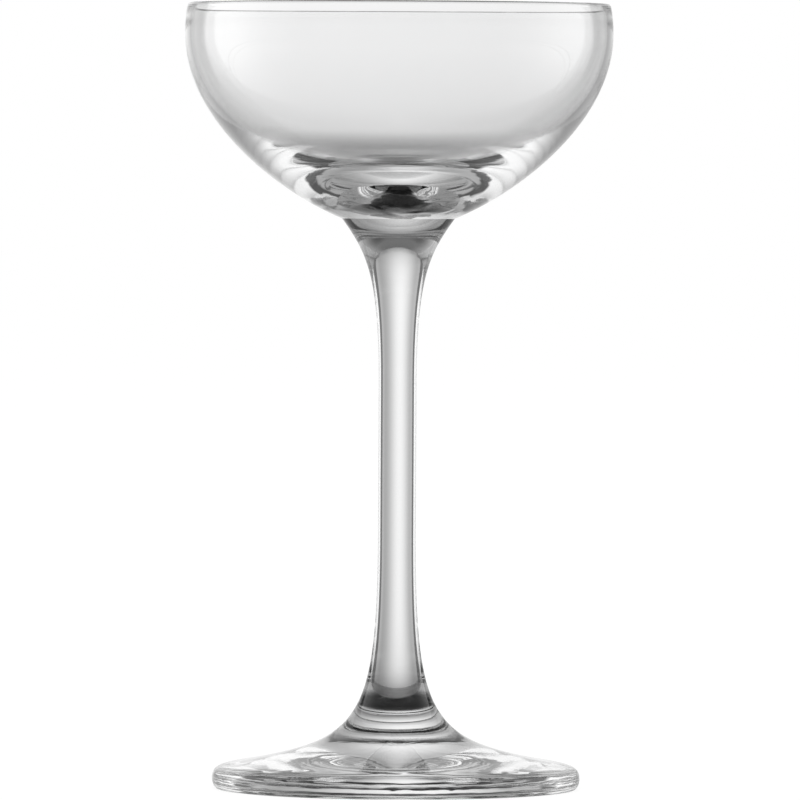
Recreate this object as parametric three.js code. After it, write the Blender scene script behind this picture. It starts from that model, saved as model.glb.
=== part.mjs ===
// A small stemmed glass with a wide, shallow bowl: bowl, stem and foot, fused at two flat seams.
// Millimetres, +Z up, the foot's rest ring on z = 0 and the axis of the glass on X = Y = 0.

import * as THREE from 'three';

// Heights, from the table up
const FOOT_HEIGHT = 14; // table to the seam between foot and stem
const STEM_LENGTH = 80.8; // seam at the foot to the seam at the bowl
const BOWL_HEIGHT = 35.2; // seam at the stem to the top of the lip

// Bowl
const BOWL_RADIUS = 35.6; // outside, at the widest ring
const RIM_TO_WIDEST = 4.4; // drop from the top of the lip to the widest ring
const RIM_CURVE_RADIUS = 25; // how roundly the wall turns in from the widest ring to the lip
const BOWL_WALL = 1; // at the lip and the widest ring
const BOWL_FLOOR = 5.1; // glass under the lowest point of the inside
const BOWL_SEAM_RADIUS = 9.4;
const BOWL_UNDERSIDE_SLOPE = 22; // degrees up from level, where the underside leaves the seam

// Stem
const STEM_RADIUS = 3.15; // at its thinnest
const STEM_HEAD_LENGTH = 27.5; // seam at the bowl down to the thinnest stretch
const STEM_HEAD_SLOPE = 54; // degrees from level, where the head meets the bowl
const STEM_TAIL_LENGTH = 28.8; // thinnest stretch down to the seam at the foot
const FOOT_SEAM_RADIUS = 6.5;
const FOOT_SEAM_SLOPE = 62.5; // degrees from level, shared by stem and foot at their seam

// Foot
const FOOT_RADIUS = 30.6; // at the widest ring
const FOOT_EDGE_HEIGHT = 1.7; // table to the widest ring
const FOOT_EDGE_INSET = 0.9; // widest ring in to the rest ring's outer edge
const FOOT_SHOULDER_RADIUS = 18.4; // where the steep cone passes into the shallow plate
const FOOT_SHOULDER_HEIGHT = 6.05;
const FOOT_PLATE_SLOPE = 14.4; // degrees from level, at the shoulder
const REST_RING_WIDTH = 4.5; // flat ring that stands on the table
const FOOT_DOME = 2.2; // rise of the hollow under the foot

// Fullness of the free curves: how far each end's direction carries, as a share of the curve's reach
const BOWL_WALL_PULL = 0.48;
const BOWL_UNDERSIDE_PULL = 0.42;
const BOWL_INSIDE_WALL_PULL = 0.47;
const BOWL_INSIDE_FLOOR_PULL = 0.65;
const STEM_HEAD_PULL = 0.255;
const STEM_HEAD_WAIST_PULL = 0.655;
const STEM_TAIL_PULL = 0.205;
const STEM_TAIL_WAIST_PULL = 0.52;
const FOOT_CONE_PULL = 0.42;
const FOOT_SHOULDER_PULL = 0.51;
const FOOT_PLATE_PULL = 0.78;
const FOOT_EDGE_PULL = 0.69;

// Facets
const TURN_STEPS = 64;
const LONG_CURVE_STEPS = 18;
const SHORT_CURVE_STEPS = 9;
const LIP_STEPS = 5;

// Heights that follow from the values above
const STEM_TOP = FOOT_HEIGHT + STEM_LENGTH;
const RIM_TOP = STEM_TOP + BOWL_HEIGHT;
const WIDEST_HEIGHT = RIM_TOP - RIM_TO_WIDEST;

// Curves of an outline, as points of radius and height
const point = (radius, height) => new THREE.Vector2(radius, height);

function direction(slope) {
  const angle = THREE.MathUtils.degToRad(slope);
  return point(Math.cos(angle), Math.sin(angle));
}

// A free curve that leaves its start and reaches its end along the two given directions.
function freeCurve(start, leaving, startReach, end, arriving, endReach) {
  const first = start.clone().addScaledVector(leaving, startReach);
  const second = end.clone().addScaledVector(arriving, -endReach);
  return new THREE.CubicBezierCurve(start, first, second, end);
}

function arc(centre, radius, fromAngle, toAngle) {
  return new THREE.ArcCurve(centre.x, centre.y, radius, fromAngle, toAngle, toAngle < fromAngle);
}

// Joins corner points and sampled curves into one outline, each shared end kept once.
function outline(...stretches) {
  const joined = [];
  for (const stretch of stretches.flat()) {
    const last = joined.at(-1);
    if (!last || last.distanceTo(stretch) > 1e-6) joined.push(stretch);
  }
  return joined;
}

// Turns an outline about the vertical axis of the glass.
function turned(name, profile) {
  const geometry = new THREE.LatheGeometry(profile, TURN_STEPS);
  geometry.rotateX(Math.PI / 2);
  const clearGlass = new THREE.MeshStandardMaterial({ color: 0xeef3f4, roughness: 0.04, metalness: 0 });
  const mesh = new THREE.Mesh(geometry, clearGlass);
  mesh.name = name;
  return mesh;
}

// Bowl: a thin lip, a wall that turns in at the rim, and a floor that thickens towards the stem.
function makeBowl() {
  const up = direction(90);
  const seamEdge = point(BOWL_SEAM_RADIUS, STEM_TOP);
  const widest = point(BOWL_RADIUS, WIDEST_HEIGHT);
  const insideWidest = point(BOWL_RADIUS - BOWL_WALL, WIDEST_HEIGHT);
  const floor = point(0, STEM_TOP + BOWL_FLOOR);

  const underside = freeCurve(
    seamEdge, direction(BOWL_UNDERSIDE_SLOPE), BOWL_UNDERSIDE_PULL * (BOWL_RADIUS - BOWL_SEAM_RADIUS),
    widest, up, BOWL_WALL_PULL * (WIDEST_HEIGHT - STEM_TOP),
  );

  const rimCentre = point(BOWL_RADIUS - RIM_CURVE_RADIUS, WIDEST_HEIGHT);
  const lipRadius = BOWL_WALL / 2;
  const middleRadius = RIM_CURVE_RADIUS - lipRadius;
  const lipAngle = Math.asin((RIM_TO_WIDEST - lipRadius) / middleRadius);
  const lipCentre = rimCentre.clone().addScaledVector(point(Math.cos(lipAngle), Math.sin(lipAngle)), middleRadius);
  const outerRim = arc(rimCentre, RIM_CURVE_RADIUS, 0, lipAngle);
  const lip = arc(lipCentre, lipRadius, lipAngle, lipAngle + Math.PI);
  const innerRim = arc(rimCentre, RIM_CURVE_RADIUS - BOWL_WALL, lipAngle, 0);

  const inside = freeCurve(
    insideWidest, direction(-90), BOWL_INSIDE_WALL_PULL * (insideWidest.y - floor.y),
    floor, direction(180), BOWL_INSIDE_FLOOR_PULL * insideWidest.x,
  );

  return turned('bowl', outline(
    point(0, STEM_TOP),
    underside.getPoints(LONG_CURVE_STEPS),
    outerRim.getPoints(2),
    lip.getPoints(LIP_STEPS),
    innerRim.getPoints(2),
    inside.getPoints(LONG_CURVE_STEPS),
  ));
}

// Stem: a solid drawn rod, flaring into the bowl above and into the foot below.
function makeStem() {
  const up = direction(90);
  const footSeamEdge = point(FOOT_SEAM_RADIUS, FOOT_HEIGHT);
  const waistBottom = point(STEM_RADIUS, FOOT_HEIGHT + STEM_TAIL_LENGTH);
  const waistTop = point(STEM_RADIUS, STEM_TOP - STEM_HEAD_LENGTH);
  const bowlSeamEdge = point(BOWL_SEAM_RADIUS, STEM_TOP);

  const tail = freeCurve(
    footSeamEdge, direction(180 - FOOT_SEAM_SLOPE), STEM_TAIL_PULL * STEM_TAIL_LENGTH,
    waistBottom, up, STEM_TAIL_WAIST_PULL * STEM_TAIL_LENGTH,
  );
  const head = freeCurve(
    waistTop, up, STEM_HEAD_WAIST_PULL * STEM_HEAD_LENGTH,
    bowlSeamEdge, direction(STEM_HEAD_SLOPE), STEM_HEAD_PULL * STEM_HEAD_LENGTH,
  );

  return turned('stem', outline(
    point(0, FOOT_HEIGHT),
    tail.getPoints(SHORT_CURVE_STEPS),
    head.getPoints(SHORT_CURVE_STEPS),
    point(0, STEM_TOP),
  ));
}

// Foot: a round plate with a cone rising to the stem, hollowed underneath inside a flat rest ring.
function makeFoot() {
  const restOuter = point(FOOT_RADIUS - FOOT_EDGE_INSET, 0);
  const restInner = point(restOuter.x - REST_RING_WIDTH, 0);
  const widest = point(FOOT_RADIUS, FOOT_EDGE_HEIGHT);
  const shoulder = point(FOOT_SHOULDER_RADIUS, FOOT_SHOULDER_HEIGHT);
  const seamEdge = point(FOOT_SEAM_RADIUS, FOOT_HEIGHT);

  const domeRadius = (restInner.x ** 2 + FOOT_DOME ** 2) / (2 * FOOT_DOME);
  const domeCentre = point(0, FOOT_DOME - domeRadius);
  const domeEdgeAngle = Math.acos(restInner.x / domeRadius);
  const dome = arc(domeCentre, domeRadius, Math.PI / 2, domeEdgeAngle);

  const lowerEdge = new THREE.EllipseCurve(
    restOuter.x, FOOT_EDGE_HEIGHT, FOOT_EDGE_INSET, FOOT_EDGE_HEIGHT, -Math.PI / 2, 0, false, 0,
  );
  const plateReach = FOOT_RADIUS - FOOT_SHOULDER_RADIUS;
  const plate = freeCurve(
    widest, direction(90), FOOT_EDGE_PULL * (FOOT_SHOULDER_HEIGHT - FOOT_EDGE_HEIGHT),
    shoulder, direction(180 - FOOT_PLATE_SLOPE), FOOT_PLATE_PULL * plateReach,
  );
  const coneReach = FOOT_SHOULDER_RADIUS - FOOT_SEAM_RADIUS;
  const cone = freeCurve(
    shoulder, direction(180 - FOOT_PLATE_SLOPE), FOOT_SHOULDER_PULL * coneReach,
    seamEdge, direction(180 - FOOT_SEAM_SLOPE), FOOT_CONE_PULL * coneReach,
  );

  return turned('foot', outline(
    dome.getPoints(SHORT_CURVE_STEPS),
    restInner,
    lowerEdge.getPoints(LIP_STEPS),
    plate.getPoints(SHORT_CURVE_STEPS),
    cone.getPoints(SHORT_CURVE_STEPS),
    point(0, FOOT_HEIGHT),
  ));
}

const glass = new THREE.Group();
glass.add(makeBowl(), makeStem(), makeFoot());

export default glass;
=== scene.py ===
"""A clear liqueur glass on a pale table: bowl, stem and foot as fine turned glass, lit by a soft studio."""
import math

import bpy
import numpy as np
from mathutils import Euler, Matrix


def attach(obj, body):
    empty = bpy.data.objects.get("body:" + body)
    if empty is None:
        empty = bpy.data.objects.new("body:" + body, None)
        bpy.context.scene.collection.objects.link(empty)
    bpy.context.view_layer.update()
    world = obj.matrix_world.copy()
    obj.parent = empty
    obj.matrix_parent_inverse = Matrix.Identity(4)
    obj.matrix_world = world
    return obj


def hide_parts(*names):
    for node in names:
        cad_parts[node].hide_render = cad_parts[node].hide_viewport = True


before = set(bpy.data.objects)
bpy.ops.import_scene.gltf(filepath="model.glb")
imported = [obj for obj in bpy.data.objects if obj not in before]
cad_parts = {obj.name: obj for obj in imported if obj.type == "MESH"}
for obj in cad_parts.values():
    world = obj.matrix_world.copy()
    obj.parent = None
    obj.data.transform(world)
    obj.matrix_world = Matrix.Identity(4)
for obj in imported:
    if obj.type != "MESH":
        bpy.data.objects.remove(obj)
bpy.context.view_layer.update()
scene = bpy.context.scene

# Sizes of the glass in metres, slopes in degrees from level. They are those of the solids but for the rim,
# which is 0.6 mm higher and rounder inside, the bowl's thicker floor and the foot's shallower hollow
MM = 0.001
FOOT_HEIGHT = 14 * MM
STEM_LENGTH = 80.8 * MM
BOWL_HEIGHT = 35.8 * MM
BOWL_RADIUS = 35.6 * MM
RIM_TO_WIDEST = 5.0 * MM
RIM_CURVE_RADIUS = 25 * MM
INSIDE_RIM_RADIUS = 10 * MM
INSIDE_UPRIGHT = 1.6 * MM
LIP_HEIGHT = 0.5 * MM
BOWL_WALL = 1 * MM
BOWL_FLOOR = 5.4 * MM
BOWL_SEAM_RADIUS = 9.4 * MM
BOWL_UNDERSIDE_SLOPE = 22
STEM_RADIUS = 3.15 * MM
STEM_HEAD_LENGTH = 27.5 * MM
STEM_HEAD_SLOPE = 54
STEM_TAIL_LENGTH = 28.8 * MM
FOOT_SEAM_RADIUS = 6.5 * MM
FOOT_SEAM_SLOPE = 62.5
FOOT_RADIUS = 30.6 * MM
FOOT_EDGE_HEIGHT = 1.7 * MM
FOOT_EDGE_INSET = 0.9 * MM
FOOT_SHOULDER_RADIUS = 18.4 * MM
FOOT_SHOULDER_HEIGHT = 6.05 * MM
FOOT_PLATE_SLOPE = 14.4
REST_RING_WIDTH = 4.5 * MM
FOOT_DOME = 0.9 * MM

# The inside of the bowl is sunk a little round a flatter middle, which keeps the floor's thickness
FLOOR_SINKING = 0.6 * MM
FLAT_MIDDLE_RADIUS = 8 * MM
SINKING_RADIUS = 22 * MM

# Heights that follow from them
STEM_TOP = FOOT_HEIGHT + STEM_LENGTH
RIM_TOP = STEM_TOP + BOWL_HEIGHT
WIDEST_HEIGHT = RIM_TOP - RIM_TO_WIDEST

# Fullness of the free curves: how far each end's direction carries, as a share of the curve's reach
BOWL_UNDERSIDE_PULL = 0.42
BOWL_WALL_PULL = 0.48
BOWL_INSIDE_WALL_PULL = 0.47
BOWL_INSIDE_FLOOR_PULL = 0.62
STEM_TAIL_PULL = 0.205
STEM_TAIL_WAIST_PULL = 0.52
STEM_HEAD_WAIST_PULL = 0.655
STEM_HEAD_PULL = 0.255
FOOT_EDGE_PULL = 0.69
FOOT_PLATE_PULL = 0.78
FOOT_SHOULDER_PULL = 0.51
FOOT_CONE_PULL = 0.42

# Fineness of the turned surfaces
TURN_STEPS = 240
LONG_STEPS = 130
SHORT_STEPS = 60
EDGE_STEPS = 24
FLAT_STEPS = 4

# Where the photograph was taken from: lengths in metres, places in the picture in pixels, roll in degrees
PICTURE_SIDE = 800
FOCAL_PIXELS = 10033
CAMERA_DISTANCE = 1.668
CAMERA_HEIGHT = 0.107
EYE_LEVEL_ROW = 145.2
AXIS_COLUMN = 397.5
PICTURE_ROLL = 0.28
SENSOR_WIDTH_MM = 36.0
NEAREST_SEEN = 0.1
FARTHEST_SEEN = 50.0

# The studio that the glass shows: levels where 1 is white, directions in degrees, fades from start to end
BACKDROP_LEVEL = 0.365
BACKDROP_SPOT = 0.63
BACKDROP_SPOT_SIDE = -4.5
BACKDROP_SPOT_WIDTH = 19.5
BACKDROP_SPOT_HEIGHT = 6
BACKDROP_SPOT_REACH = 37
BACKDROP_SPILL = 0.08
BACKDROP_EDGE = 38.5
SPILL_FADE = (BACKDROP_EDGE - 11, BACKDROP_EDGE - 2)
GAP_FADE = (BACKDROP_EDGE, BACKDROP_EDGE + 3)
GAP_LEVEL = 0.1
PANEL_LEVEL = 1.18
PANEL_LEAN = 0.0055
LEFT_PANEL_START = (48, 52)
LEFT_PANEL_END = (75, 130)
RIGHT_PANEL_START = (49, 53)
RIGHT_PANEL_END = (65, 125)
PANEL_TOP_FADE = (8, 75)
ROOM_LEVEL = 0.33
ROOM_DIMMING = 0.06
ROOM_DIMMING_HEIGHTS = (30, 60)
ROOM_FADE = (90, 115)
HIGH_SIDES_DIMMING = 0.4
HIGH_SIDES_HEIGHTS = (40, 66)
HIGH_SIDES_FADE = (12, 30)

# The glass: its colour and refraction, faint cords drawn out along the axis, and wipe marks
WHITE = (1.0, 1.0, 1.0, 1.0)
GLASS_COLOUR = (0.988, 0.989, 0.99, 1.0)
GLASS_IOR = 1.5
CORD_DEPTH = 0.004 * MM
CORDS_PER_METRE = 90.0
CORD_DRAWING = (1.0, 1.0, 0.25)
WIPES_PER_METRE = 260.0
WIPE_FADE = (0.62, 0.82)
WIPE_ROUGHNESS = 0.012

# Rings spun into the foot, streaks along its edge and swirls in the bowl's floor, each with where it fades
WAVE_DEPTH = 0.03 * MM
WAVES_PER_METRE = 300
WAVES_PER_TURN = 4
WAVE_TOP_FADE = (8 * MM, 15 * MM)
STREAK_DEPTH = 0.05 * MM
STREAKS_PER_METRE = 900
STREAKS_PER_TURN = 8
STREAK_INNER_FADE = (25 * MM, 28 * MM)
SWIRL_DEPTH = 0.2 * MM
SWIRLS_PER_METRE = 250.0
SWIRL_LOW_FADE = (97 * MM, 99 * MM)
SWIRL_TOP_FADE = (104 * MM, 108 * MM)
SWIRL_OUTER_FADE = (9 * MM, 14 * MM)
AXIS_CLEARANCE = 0.01 * MM

# The table, as a square of floor, and how it looks in the glass, where its near-black level is painted shade.
# Facing is 0 straight down and 1 at level;
# light on a straight way has been mirrored and has crossed glass fewer times than the two limits
TABLE_REACH = 8.0
TABLE_LEVEL = -0.02 * MM
WHITE_SHARE = 0.9
MIRROR_RISE = 1.9
MIRROR_START = 0.56
LOW_MIRROR_RISE = 0.55
LOW_MIRROR_BASE = 0.45
LEAST_MIRROR = 0.01
MIRROR_ROUGHNESS = 0.02
GRAIN_ROUGHNESS = 0.02
GRAINS_PER_METRE = 60.0
# Near-black painted shade that the white table shows in the glass
PAINTED_SHADE_LEVEL = 0.006
PALE_LEVEL = 0.85
STEEP_FADE = (0.2, 0.45)
MIRRORING_LIMIT = 0.5
CROSSING_LIMIT = 2.5

# The lamp above, in metres and watts
LAMP_SIZE = 1.2
LAMP_POWER = 12.0
LAMP_HEIGHT = 1.5

# How often light may turn in the glass
LIGHT_BOUNCES = 48


# Outlines of the glass, as rows of radius and height

def point(radius, height):
    return np.array([radius, height])


def direction(slope):
    angle = math.radians(slope)
    return point(math.cos(angle), math.sin(angle))


def free_curve(start, leaving, start_reach, end, arriving, end_reach, steps):
    """Cubic curve through start and end, drawn out along the two end directions by the two reaches."""
    t = np.linspace(0, 1, steps + 1)[:, None]
    first = start + leaving * start_reach
    second = end - arriving * end_reach
    return (1 - t) ** 3 * start + 3 * (1 - t) ** 2 * t * first + 3 * (1 - t) * t ** 2 * second + t ** 3 * end


def arc(centre, radii, from_angle, to_angle, steps):
    """Ellipse arc about a centre: centre + (radius * cos, height * sin) of an angle that runs evenly."""
    angle = np.linspace(from_angle, to_angle, steps + 1)[:, None]
    return centre + np.hstack([radii[0] * np.cos(angle), radii[1] * np.sin(angle)])


def straight(start, end, steps):
    """Straight line from start to end in even steps."""
    return start + np.linspace(0, 1, steps + 1)[:, None] * (end - start)


def eased(value, start, end):
    """Smooth step from 0 at start to 1 at end: 3 times the share of the way squared, less 2 times its cube."""
    share = np.clip((value - start) / (end - start), 0, 1)
    return share * share * (3 - 2 * share)


def bowl_outline():
    """Flat seam, underside, rim arc, round lip, inner rim arc and inside, from the axis back to it."""
    seam_edge = point(BOWL_SEAM_RADIUS, STEM_TOP)
    widest = point(BOWL_RADIUS, WIDEST_HEIGHT)
    inside_widest = point(BOWL_RADIUS - BOWL_WALL, WIDEST_HEIGHT)
    inside_turn = inside_widest + point(0, INSIDE_UPRIGHT)
    floor = point(0, STEM_TOP + BOWL_FLOOR - FLOOR_SINKING)
    underside = free_curve(
        seam_edge, direction(BOWL_UNDERSIDE_SLOPE), BOWL_UNDERSIDE_PULL * (BOWL_RADIUS - BOWL_SEAM_RADIUS),
        widest, direction(90), BOWL_WALL_PULL * (WIDEST_HEIGHT - STEM_TOP), LONG_STEPS)
    lip_foot = RIM_TOP - LIP_HEIGHT
    outer_lean = math.asin((lip_foot - widest[1]) / RIM_CURVE_RADIUS)
    inner_lean = math.asin((lip_foot - inside_turn[1]) / INSIDE_RIM_RADIUS)
    outer_rim = arc(
        widest - point(RIM_CURVE_RADIUS, 0), (RIM_CURVE_RADIUS, RIM_CURVE_RADIUS), 0, outer_lean, EDGE_STEPS)
    inner_rim = arc(
        inside_turn - point(INSIDE_RIM_RADIUS, 0), (INSIDE_RIM_RADIUS, INSIDE_RIM_RADIUS),
        inner_lean, 0, EDGE_STEPS)
    lip = round_lip(outer_rim[-1], inner_rim[0], math.tan((outer_lean + inner_lean) / 2))
    inside = free_curve(
        inside_widest, direction(-90), BOWL_INSIDE_WALL_PULL * (inside_widest[1] - floor[1]),
        floor, direction(180), BOWL_INSIDE_FLOOR_PULL * inside_widest[0], LONG_STEPS)
    inside[:, 1] += FLOOR_SINKING * eased(inside[:, 0], SINKING_RADIUS, FLAT_MIDDLE_RADIUS)
    return [
        straight(point(0, STEM_TOP), seam_edge, 1), underside, outer_rim, lip, inner_rim,
        straight(inside_turn, inside_widest, FLAT_STEPS), inside]


def round_lip(outer_end, inner_end, lean):
    """Half an ellipse over the two ends of the wall, sheared inwards by the wall's lean."""
    turn = np.linspace(0, np.pi, EDGE_STEPS + 1)[:, None]
    middle = (outer_end + inner_end) / 2
    half = (outer_end - inner_end) / 2
    return middle + half * np.cos(turn) + LIP_HEIGHT * np.sin(turn) * point(-lean, 1)


def stem_outline():
    """Flat seam at the foot, tail, straight waist, head and flat seam at the bowl."""
    up = direction(90)
    foot_seam_edge = point(FOOT_SEAM_RADIUS, FOOT_HEIGHT)
    waist_bottom = point(STEM_RADIUS, FOOT_HEIGHT + STEM_TAIL_LENGTH)
    waist_top = point(STEM_RADIUS, STEM_TOP - STEM_HEAD_LENGTH)
    bowl_seam_edge = point(BOWL_SEAM_RADIUS, STEM_TOP)
    tail = free_curve(
        foot_seam_edge, direction(180 - FOOT_SEAM_SLOPE), STEM_TAIL_PULL * STEM_TAIL_LENGTH,
        waist_bottom, up, STEM_TAIL_WAIST_PULL * STEM_TAIL_LENGTH, SHORT_STEPS)
    waist = straight(waist_bottom, waist_top, EDGE_STEPS)
    head = free_curve(
        waist_top, up, STEM_HEAD_WAIST_PULL * STEM_HEAD_LENGTH,
        bowl_seam_edge, direction(STEM_HEAD_SLOPE), STEM_HEAD_PULL * STEM_HEAD_LENGTH, SHORT_STEPS)
    return [
        straight(point(0, FOOT_HEIGHT), foot_seam_edge, 1), tail, waist, head,
        straight(bowl_seam_edge, point(0, STEM_TOP), 1)]


def foot_outline():
    """Shallow dome underneath, flat rest ring, rounded edge, plate, cone and flat seam at the stem."""
    rest_outer = point(FOOT_RADIUS - FOOT_EDGE_INSET, 0)
    rest_inner = point(rest_outer[0] - REST_RING_WIDTH, 0)
    widest = point(FOOT_RADIUS, FOOT_EDGE_HEIGHT)
    shoulder = point(FOOT_SHOULDER_RADIUS, FOOT_SHOULDER_HEIGHT)
    seam_edge = point(FOOT_SEAM_RADIUS, FOOT_HEIGHT)
    dome_radius = (rest_inner[0] ** 2 + FOOT_DOME ** 2) / (2 * FOOT_DOME)
    dome_centre = point(0, FOOT_DOME - dome_radius)
    dome_edge_angle = math.acos(rest_inner[0] / dome_radius)
    dome = arc(dome_centre, (dome_radius, dome_radius), math.pi / 2, dome_edge_angle, SHORT_STEPS)
    rest_ring = straight(rest_inner, rest_outer, FLAT_STEPS)
    edge = arc(
        rest_outer + point(0, FOOT_EDGE_HEIGHT), (FOOT_EDGE_INSET, FOOT_EDGE_HEIGHT),
        -math.pi / 2, 0, EDGE_STEPS)
    over_plate = direction(180 - FOOT_PLATE_SLOPE)
    plate = free_curve(
        widest, direction(90), FOOT_EDGE_PULL * (FOOT_SHOULDER_HEIGHT - FOOT_EDGE_HEIGHT),
        shoulder, over_plate, FOOT_PLATE_PULL * (FOOT_RADIUS - FOOT_SHOULDER_RADIUS), SHORT_STEPS)
    cone_reach = FOOT_SHOULDER_RADIUS - FOOT_SEAM_RADIUS
    cone = free_curve(
        shoulder, over_plate, FOOT_SHOULDER_PULL * cone_reach,
        seam_edge, direction(180 - FOOT_SEAM_SLOPE), FOOT_CONE_PULL * cone_reach, SHORT_STEPS)
    return [dome, rest_ring, edge, plate, cone, straight(seam_edge, point(0, FOOT_HEIGHT), 1)]


# Turned surfaces

def ring_points(outline):
    """Each outline row (radius, height) carried round the axis: (radius * cos, radius * sin, height)."""
    turn = np.linspace(0, 2 * np.pi, TURN_STEPS, endpoint=False)
    radius = outline[:, :1]
    height = np.broadcast_to(outline[:, 1:], (len(outline), TURN_STEPS))
    return np.stack([radius * np.cos(turn), radius * np.sin(turn), height], -1)


def ring_normals(rings):
    """Outward unit normals: the step round the axis crossed with the step along the outline."""
    along = np.gradient(rings, axis=0, edge_order=min(2, len(rings) - 1))
    turn = np.linspace(0, 2 * np.pi, TURN_STEPS, endpoint=False)
    around = np.stack([-np.sin(turn), np.cos(turn), np.zeros(TURN_STEPS)], -1)
    normal = np.cross(np.broadcast_to(around, rings.shape), along)
    return normal / np.linalg.norm(normal, axis=-1, keepdims=True)


def turned_faces(rows):
    """Vertex number of every face corner, and how many corners each face has, for that many rows of faces.

    Vertices run from the low pole through the rings to the high pole. The first and last rows are fans of
    triangles about the poles, and the rows between are quads.
    """
    here = np.arange(TURN_STEPS)
    beside = np.roll(here, -1)
    final_ring = 1 + (rows - 2) * TURN_STEPS
    high_pole = final_ring + TURN_STEPS
    fan_low = np.stack([np.zeros_like(here), 1 + beside, 1 + here], -1)
    fan_high = np.stack([final_ring + here, final_ring + beside, np.full_like(here, high_pole)], -1)
    below = 1 + np.arange(rows - 2)[:, None] * TURN_STEPS
    above = below + TURN_STEPS
    quads = np.stack([below + here, below + beside, above + beside, above + here], -1)
    corners = np.concatenate([fan_low.ravel(), quads.ravel(), fan_high.ravel()])
    sides = np.repeat([3, 4, 3], [TURN_STEPS, (rows - 2) * TURN_STEPS, TURN_STEPS])
    return corners, sides


def corner_normals(normals):
    """The normal of every face corner, in the order of the faces, from each stretch's own ring normals."""
    lower = np.concatenate([stretch[:-1] for stretch in normals])
    upper = np.concatenate([stretch[1:] for stretch in normals])
    low_row = lower[1:-1]
    high_row = upper[1:-1]
    quads = np.stack([low_row, np.roll(low_row, -1, 1), np.roll(high_row, -1, 1), high_row], 2)
    up = np.array([0.0, 0.0, 1.0])
    low_pole = np.broadcast_to(up * np.sign(lower[0, 0, 2] + upper[0, 0, 2]), upper[0].shape)
    high_pole = np.broadcast_to(up * np.sign(lower[-1, 0, 2] + upper[-1, 0, 2]), lower[-1].shape)
    fan_low = np.stack([low_pole, np.roll(upper[0], -1, 0), upper[0]], 1)
    fan_high = np.stack([lower[-1], np.roll(lower[-1], -1, 0), high_pole], 1)
    return np.concatenate([part.reshape(-1, 3) for part in (fan_low, quads, fan_high)])


def turned_piece(name, stretches, seams):
    """A closed mesh from outline stretches that run axis to axis; the stretches numbered in seams are joints.

    Every stretch is a grid of rings, and the ring that two stretches share is kept once. The two rings on the
    axis shrink to single points. Each face corner takes the normal of its own stretch, so that real corners
    stay crisp.
    """
    grids = [ring_points(stretch) for stretch in stretches]
    rings = np.concatenate([grids[0]] + [grid[1:] for grid in grids[1:]])
    coords = np.concatenate([rings[0, :1], rings[1:-1].reshape(-1, 3), rings[-1, :1]])
    corners, sides = turned_faces(len(rings) - 1)
    starts = np.cumsum(sides) - sides
    row_slots = np.concatenate([np.full(len(s) - 1, int(i in seams)) for i, s in enumerate(stretches)])
    face_slots = np.repeat(row_slots, TURN_STEPS)

    mesh = bpy.data.meshes.new(name)
    mesh.vertices.add(len(coords))
    mesh.loops.add(len(corners))
    mesh.polygons.add(len(sides))
    mesh.vertices.foreach_set("co", coords.ravel())
    mesh.loops.foreach_set("vertex_index", corners.astype(np.int32))
    mesh.polygons.foreach_set("loop_start", starts.astype(np.int32))
    mesh.polygons.foreach_set("material_index", face_slots.astype(np.int32))
    mesh.polygons.foreach_set("use_smooth", np.ones(len(sides), dtype=bool))
    mesh.update(calc_edges=True)
    mesh.normals_split_custom_set(corner_normals([ring_normals(grid) for grid in grids]).tolist())
    piece = bpy.data.objects.new(name, mesh)
    scene.collection.objects.link(piece)
    return piece


# Shader nodes written as Python

class Value:
    """A socket that takes part in expressions: each operation adds one Math node to the socket's tree."""

    def __init__(self, shader, socket):
        self.shader = shader
        self.socket = socket

    def math(self, operation, *values):
        return self.shader.node("ShaderNodeMath", {"operation": operation}, dict(enumerate(values)))

    def __add__(self, other):
        return self.math("ADD", self, other)

    def __radd__(self, other):
        return self.math("ADD", other, self)

    def __sub__(self, other):
        return self.math("SUBTRACT", self, other)

    def __rsub__(self, other):
        return self.math("SUBTRACT", other, self)

    def __mul__(self, other):
        return self.math("MULTIPLY", self, other)

    def __rmul__(self, other):
        return self.math("MULTIPLY", other, self)

    def __truediv__(self, other):
        return self.math("DIVIDE", self, other)

    def __abs__(self):
        return self.math("ABSOLUTE", self)

    def atan2(self, other):
        return self.math("ARCTAN2", self, other)

    def arcsin(self):
        return self.math("ARCSINE", self)

    def root(self):
        return self.math("SQRT", self)

    def least(self, other):
        return self.math("MINIMUM", self, other)

    def most(self, other):
        return self.math("MAXIMUM", self, other)

    def below(self, limit):
        return self.math("LESS_THAN", self, limit)

    def exp(self):
        return self.math("EXPONENT", self)

    def step(self, start, end):
        """Rises smoothly from 0 where the value is start to 1 where it is end."""
        return self.shader.node(
            "ShaderNodeMapRange", {"interpolation_type": "SMOOTHSTEP"},
            {"Value": self, "From Min": start, "From Max": end})


def mixed(first, second, share):
    """The first value where share is 0, the second where it is 1."""
    return first + share * (second - first)


class Shader:
    """A material's or world's node tree, emptied and built up again."""

    def __init__(self, owner):
        owner.use_nodes = True
        self.tree = owner.node_tree
        self.tree.nodes.clear()

    def node(self, kind, settings=None, sockets=None, output=0):
        """Adds a node, applies its settings, then its socket values or links, and returns one output."""
        made = self.tree.nodes.new(kind)
        for name, value in (settings or {}).items():
            setattr(made, name, value)
        for name, value in (sockets or {}).items():
            if isinstance(value, Value):
                self.tree.links.new(value.socket, made.inputs[name])
            else:
                made.inputs[name].default_value = value
        return Value(self, made.outputs[output]) if made.outputs else None

    def axes(self, vector):
        """The three parts of a vector."""
        return [self.node("ShaderNodeSeparateXYZ", None, {"Vector": vector}, output=axis) for axis in "XYZ"]

    def light_path(self, output):
        return self.node("ShaderNodeLightPath", output=output)


# Materials

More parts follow.
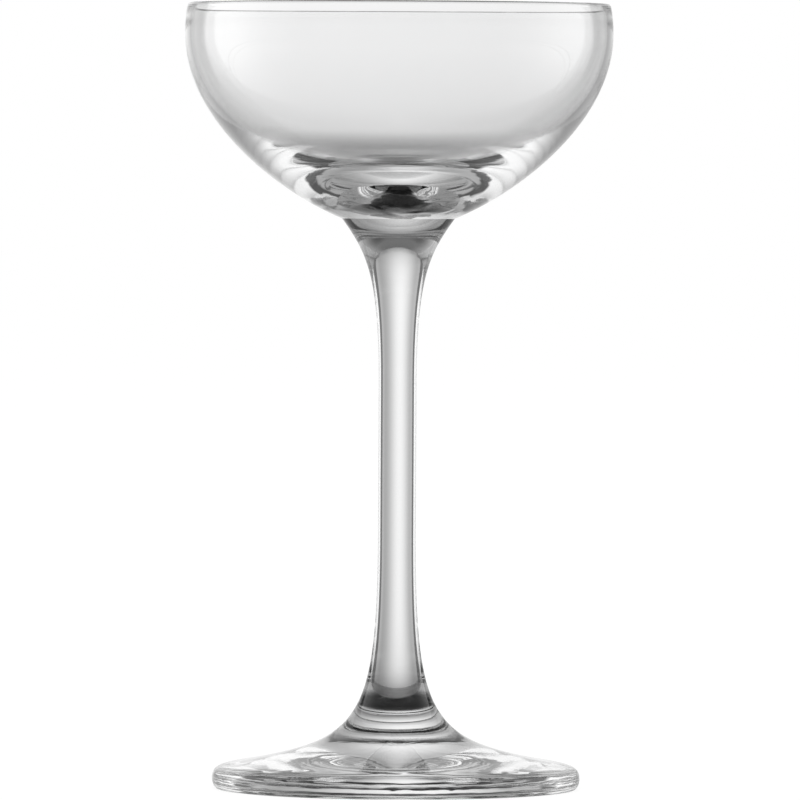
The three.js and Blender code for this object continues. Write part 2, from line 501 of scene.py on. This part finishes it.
def clear_glass():
    """Clear polished glass with the faint cords and wipe marks of blown ware."""
    material = bpy.data.materials.new("clear_glass")
    shader = Shader(material)
    place = shader.node("ShaderNodeTexCoord", output="Object")
    drawn = shader.node("ShaderNodeMapping", None, {"Vector": place, "Scale": CORD_DRAWING})
    cords = shader.node(
        "ShaderNodeTexNoise", None,
        {"Vector": drawn, "Scale": CORDS_PER_METRE, "Detail": 2.0, "Roughness": 0.5})
    wipes = shader.node(
        "ShaderNodeTexNoise", None,
        {"Vector": drawn, "Scale": WIPES_PER_METRE, "Detail": 4.0, "Roughness": 0.6})
    height = cords * CORD_DEPTH + spun_waves(shader, place)
    relief = shader.node(
        "ShaderNodeBump", None, {"Strength": 1.0, "Distance": 1.0, "Height": height}, output="Normal")
    gloss = wipes.step(*WIPE_FADE) * WIPE_ROUGHNESS
    surface = shader.node(
        "ShaderNodeBsdfPrincipled", None,
        {"Base Color": GLASS_COLOUR, "Roughness": gloss, "IOR": GLASS_IOR,
         "Transmission Weight": 1.0, "Normal": relief})
    shader.node("ShaderNodeOutputMaterial", None, {"Surface": surface})
    return material


def spun_waves(shader, place):
    """Height of the rings in the foot, the streaks along its edge and the swirls in the bowl's floor.

    Rings are noise over turn and radius, streaks are noise over turn and height, and swirls are noise over
    place, each faded out beyond its own part of the glass.
    """
    x, y, z = shader.axes(place)
    radius = (x * x + y * y).root() + AXIS_CLEARANCE
    in_foot = 1 - z.step(*WAVE_TOP_FADE)
    over_foot = shader.node(
        "ShaderNodeCombineXYZ", None,
        {"X": x / radius * WAVES_PER_TURN, "Y": y / radius * WAVES_PER_TURN, "Z": radius * WAVES_PER_METRE})
    rings = shader.node("ShaderNodeTexNoise", None, {"Vector": over_foot, "Scale": 1.0, "Detail": 1.0})

    at_edge = radius.step(*STREAK_INNER_FADE) * in_foot
    along_edge = shader.node(
        "ShaderNodeCombineXYZ", None,
        {"X": x / radius * STREAKS_PER_TURN, "Y": y / radius * STREAKS_PER_TURN, "Z": z * STREAKS_PER_METRE})
    streaks = shader.node("ShaderNodeTexNoise", None, {"Vector": along_edge, "Scale": 1.0, "Detail": 1.0})

    in_floor_height = z.step(*SWIRL_LOW_FADE) * (1 - z.step(*SWIRL_TOP_FADE))
    in_floor = in_floor_height * (1 - radius.step(*SWIRL_OUTER_FADE))
    swirls = shader.node(
        "ShaderNodeTexNoise", None,
        {"Vector": place, "Scale": SWIRLS_PER_METRE, "Detail": 0.5, "Distortion": 0.6})

    foot = rings * in_foot * WAVE_DEPTH + streaks * at_edge * STREAK_DEPTH
    return foot + swirls * in_floor * SWIRL_DEPTH


def fused_seam():
    """The inside of a fused joint, where the glass runs through without a surface."""
    material = bpy.data.materials.new("fused_seam")
    shader = Shader(material)
    surface = shader.node("ShaderNodeBsdfPrincipled", None, {"Base Color": WHITE, "Alpha": 0.0})
    shader.node("ShaderNodeOutputMaterial", None, {"Surface": surface})
    return material


def table_with_painted_shade():
    """White to the camera, with the glass's faint shadow.

    In the glass the table is painted near black as shade and is glossy, mirrors the studio at low angles, and
    turns pale where it is seen steeply through two surfaces of glass at most.
    """
    material = bpy.data.materials.new("pale_table_painted_shade_in_glass")
    shader = Shader(material)
    place = shader.node("ShaderNodeTexCoord", output="Object")
    grain = shader.node(
        "ShaderNodeTexNoise", None, {"Vector": place, "Scale": GRAINS_PER_METRE, "Detail": 3.0})
    white = shader.node("ShaderNodeEmission", None, {"Color": WHITE, "Strength": 1.0})
    matt = shader.node("ShaderNodeBsdfDiffuse", None, {"Color": WHITE})
    shown = shader.node("ShaderNodeMixShader", None, {0: WHITE_SHARE, 1: matt, 2: white})

    facing = shader.node("ShaderNodeLayerWeight", None, {"Blend": 0.5}, output="Facing")
    rising_mirror = MIRROR_RISE * facing - MIRROR_START
    low_mirror = LOW_MIRROR_RISE * facing + LOW_MIRROR_BASE
    mirror_share = rising_mirror.least(low_mirror).most(LEAST_MIRROR)
    mirror = shader.node(
        "ShaderNodeBsdfGlossy", None,
        {"Color": WHITE, "Roughness": MIRROR_ROUGHNESS + GRAIN_ROUGHNESS * grain})

    # Painted shade: in the glass the white table shows near black, lifted to pale only where it is seen
    # steeply and straight through at most two surfaces of glass
    unmirrored = shader.light_path("Glossy Depth").below(MIRRORING_LIMIT)
    straight_through = unmirrored * shader.light_path("Transmission Depth").below(CROSSING_LIMIT)
    steep = 1 - facing.step(*STEEP_FADE)
    shade = mixed(PAINTED_SHADE_LEVEL, PALE_LEVEL, straight_through * steep)
    painted_shade_emission = shader.node("ShaderNodeEmission", None, {"Color": shade, "Strength": 1.0})
    in_glass = shader.node("ShaderNodeMixShader", None, {0: mirror_share, 1: painted_shade_emission, 2: mirror})

    seen = shader.light_path("Is Camera Ray")
    surface = shader.node("ShaderNodeMixShader", None, {0: seen, 1: in_glass, 2: shown})
    shader.node("ShaderNodeOutputMaterial", None, {"Surface": surface})
    return material


# Studio

def lit_backdrop(azimuth, height):
    """A lit spot that fades away like a bell over the backdrop, and a little spill at its edges."""
    across = (azimuth - BACKDROP_SPOT_SIDE) / BACKDROP_SPOT_WIDTH
    up = (height - BACKDROP_SPOT_HEIGHT) / BACKDROP_SPOT_REACH
    spot = (-1 * (across * across + up * up)).exp()
    spill = BACKDROP_SPILL * abs(azimuth).step(*SPILL_FADE)
    return BACKDROP_LEVEL + BACKDROP_SPOT * spot + spill


def bright_panels(azimuth, height):
    """A tall panel on each side, its inner edge leaning away with height and its top fading out."""
    left = -1 * azimuth
    right = azimuth
    lean = PANEL_LEAN * height * height
    left_panel = (left - lean).step(*LEFT_PANEL_START) * (1 - left.step(*LEFT_PANEL_END))
    right_panel = (right - lean).step(*RIGHT_PANEL_START) * (1 - right.step(*RIGHT_PANEL_END))
    return (left_panel + right_panel) * (1 - height.step(*PANEL_TOP_FADE))


def studio_surroundings():
    """White to the camera. In the glass: a lit backdrop, dark gaps, two bright panels and a grey room."""
    world = bpy.data.worlds.new("studio")
    scene.world = world
    shader = Shader(world)
    toward = shader.node("ShaderNodeTexCoord", output="Generated")
    x, y, z = shader.axes(toward)
    degrees = 180 / math.pi
    azimuth = x.atan2(y) * degrees
    aside = abs(azimuth)
    height = abs(z.arcsin()) * degrees

    beside = mixed(lit_backdrop(azimuth, height), GAP_LEVEL, aside.step(*GAP_FADE))
    room = ROOM_LEVEL - ROOM_DIMMING * height.step(*ROOM_DIMMING_HEIGHTS)
    around = mixed(beside, room, aside.step(*ROOM_FADE))
    high_sides = HIGH_SIDES_DIMMING * height.step(*HIGH_SIDES_HEIGHTS) * aside.step(*HIGH_SIDES_FADE)
    studio = mixed(around * (1 - high_sides), PANEL_LEVEL, bright_panels(azimuth, height))

    in_glass = (shader.light_path("Is Glossy Ray") + shader.light_path("Is Transmission Ray")).least(1.0)
    level = mixed(1.0, studio, in_glass)
    sky = shader.node("ShaderNodeBackground", None, {"Color": level, "Strength": 1.0})
    shader.node("ShaderNodeOutputWorld", None, {"Surface": sky})


def table():
    """Flat square of floor under the glass, just clear of the foot's rest ring."""
    corners = [(side_x * TABLE_REACH, side_y * TABLE_REACH, TABLE_LEVEL)
               for side_x, side_y in ((-1, -1), (1, -1), (1, 1), (-1, 1))]
    mesh = bpy.data.meshes.new("table")
    mesh.from_pydata(corners, [], [(0, 1, 2, 3)])
    mesh.materials.append(table_with_painted_shade())
    floor = bpy.data.objects.new("table", mesh)
    scene.collection.objects.link(floor)


def soft_lamp():
    """One broad lamp above, for the glass's soft shadow on the table."""
    light = bpy.data.lights.new("soft_lamp", "AREA")
    light.shape = "DISK"
    light.size = LAMP_SIZE
    light.energy = LAMP_POWER
    lamp = bpy.data.objects.new("soft_lamp", light)
    lamp.location = (0.0, 0.0, LAMP_HEIGHT)
    lamp.visible_glossy = False
    lamp.visible_transmission = False
    scene.collection.objects.link(lamp)


def camera():
    """Long lens, level with the bowl, tipped, turned and rolled by the picture's own offsets."""
    lens = bpy.data.cameras.new("camera")
    lens.sensor_width = SENSOR_WIDTH_MM
    lens.lens = SENSOR_WIDTH_MM * FOCAL_PIXELS / PICTURE_SIDE
    lens.clip_start = NEAREST_SEEN
    lens.clip_end = FARTHEST_SEEN
    eye = bpy.data.objects.new("camera", lens)
    tip = math.atan((PICTURE_SIDE / 2 - EYE_LEVEL_ROW) / FOCAL_PIXELS)
    turn = math.atan((PICTURE_SIDE / 2 - AXIS_COLUMN) / FOCAL_PIXELS)
    aim = Euler((math.pi / 2 - tip, 0.0, -turn), "XYZ").to_matrix()
    roll = Matrix.Rotation(math.radians(PICTURE_ROLL), 3, "Z")
    eye.location = (0.0, -CAMERA_DISTANCE, CAMERA_HEIGHT)
    eye.rotation_mode = "XYZ"
    eye.rotation_euler = (aim @ roll).to_euler("XYZ")
    scene.collection.objects.link(eye)
    scene.camera = eye


# The glass

glass = clear_glass()
seam = fused_seam()
for name, stretches, seams in (
        ("bowl", bowl_outline(), {0}),
        ("stem", stem_outline(), {0, 4}),
        ("foot", foot_outline(), {5})):
    piece = turned_piece(f"{name}_glass", stretches, seams)
    piece.data.materials.append(glass)
    piece.data.materials.append(seam)
    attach(piece, "root")
    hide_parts(name)

table()
soft_lamp()
studio_surroundings()
camera()

scene.view_settings.view_transform = "Standard"
scene.cycles.blur_glossy = 0.0
scene.cycles.max_bounces = LIGHT_BOUNCES
scene.cycles.glossy_bounces = LIGHT_BOUNCES
scene.cycles.transmission_bounces = LIGHT_BOUNCES
scene.cycles.transparent_max_bounces = 2 * LIGHT_BOUNCES
